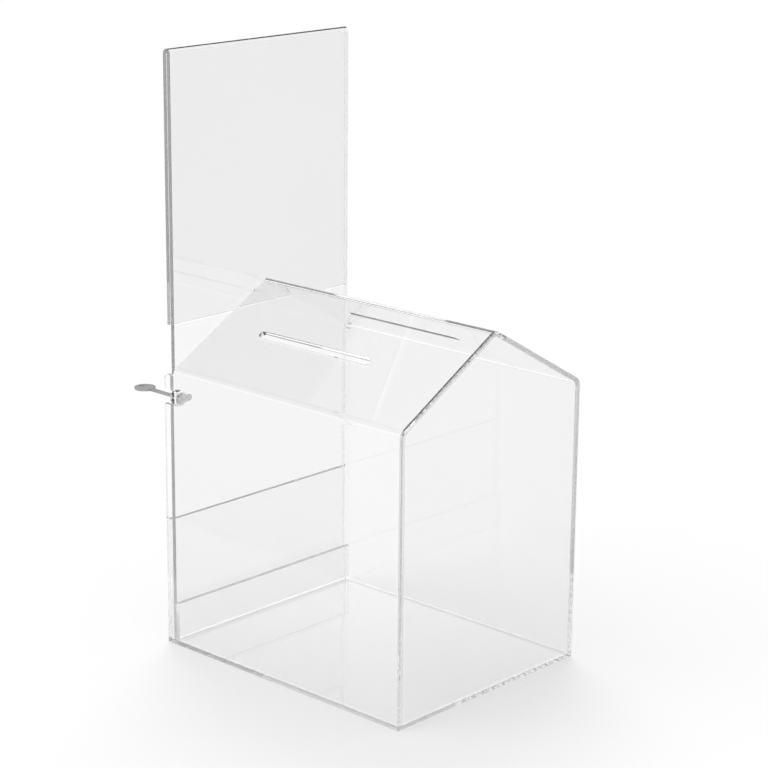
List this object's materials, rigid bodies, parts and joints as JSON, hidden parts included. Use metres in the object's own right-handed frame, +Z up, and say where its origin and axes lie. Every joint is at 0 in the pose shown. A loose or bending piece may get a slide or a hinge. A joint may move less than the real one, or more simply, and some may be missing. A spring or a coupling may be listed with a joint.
{
  "type": "donation box",
  "caption": "Clear acrylic house-shaped donation box with a money slot in each roof slope and a tall folded sign panel that lifts out as the rear door behind a cam lock.",
  "frame": {"origin": "centre of the base panel's underside, where the box stands", "axes": "+Z up, -Y towards the front gable, +Y towards the sign panel and lock, +X towards the right eave wall; the lock is by the left wall (-X)"},
  "size_m": [0.268, 0.3917, 0.6314],
  "materials": {
    "clear_acrylic": "clear cast acrylic, polished faces and flame-polished edges",
    "lock_chrome": "bright chrome plate",
    "lock_steel": "zinc plated, fine brushed",
    "wafer_brass": "stamped brass",
    "key_nickel": "nickel plated, slightly darkened"
  },
  "bodies": {
    "cabinet": {"base_panel": "clear_acrylic", "shell": "clear_acrylic", "front_panel": "clear_acrylic", "rear_lower_panel": "clear_acrylic", "door_keeper_strip": "clear_acrylic"},
    "door": {"sign_panel": "clear_acrylic", "lock_housing": "lock_chrome", "lock_nut": "lock_chrome"},
    "lock_cylinder": {"lock_plug": "lock_steel", "wafer_tumbler_1": "wafer_brass", "wafer_tumbler_2": "wafer_brass", "wafer_tumbler_3": "wafer_brass", "lock_cam": "lock_steel", "cam_screw": "lock_steel"},
    "key": {"key": "key_nickel"}
  },
  "joints": [
    {"name": "sign_lift", "type": "slide", "parent": "cabinet", "child": "door", "axis": [0, 0, 1], "range_m": [0, 0.375]},
    {"name": "lock_turn", "type": "hinge", "parent": "door", "child": "lock_cylinder", "pos_m": [-0.1197, 0.16, 0.269], "axis": [0, -1, 0], "range_deg": [0, 180]},
    {"name": "key_withdraw", "type": "slide", "parent": "lock_cylinder", "child": "key", "axis": [0, 1, 0], "range_m": [0, 0.03]}
  ]
}
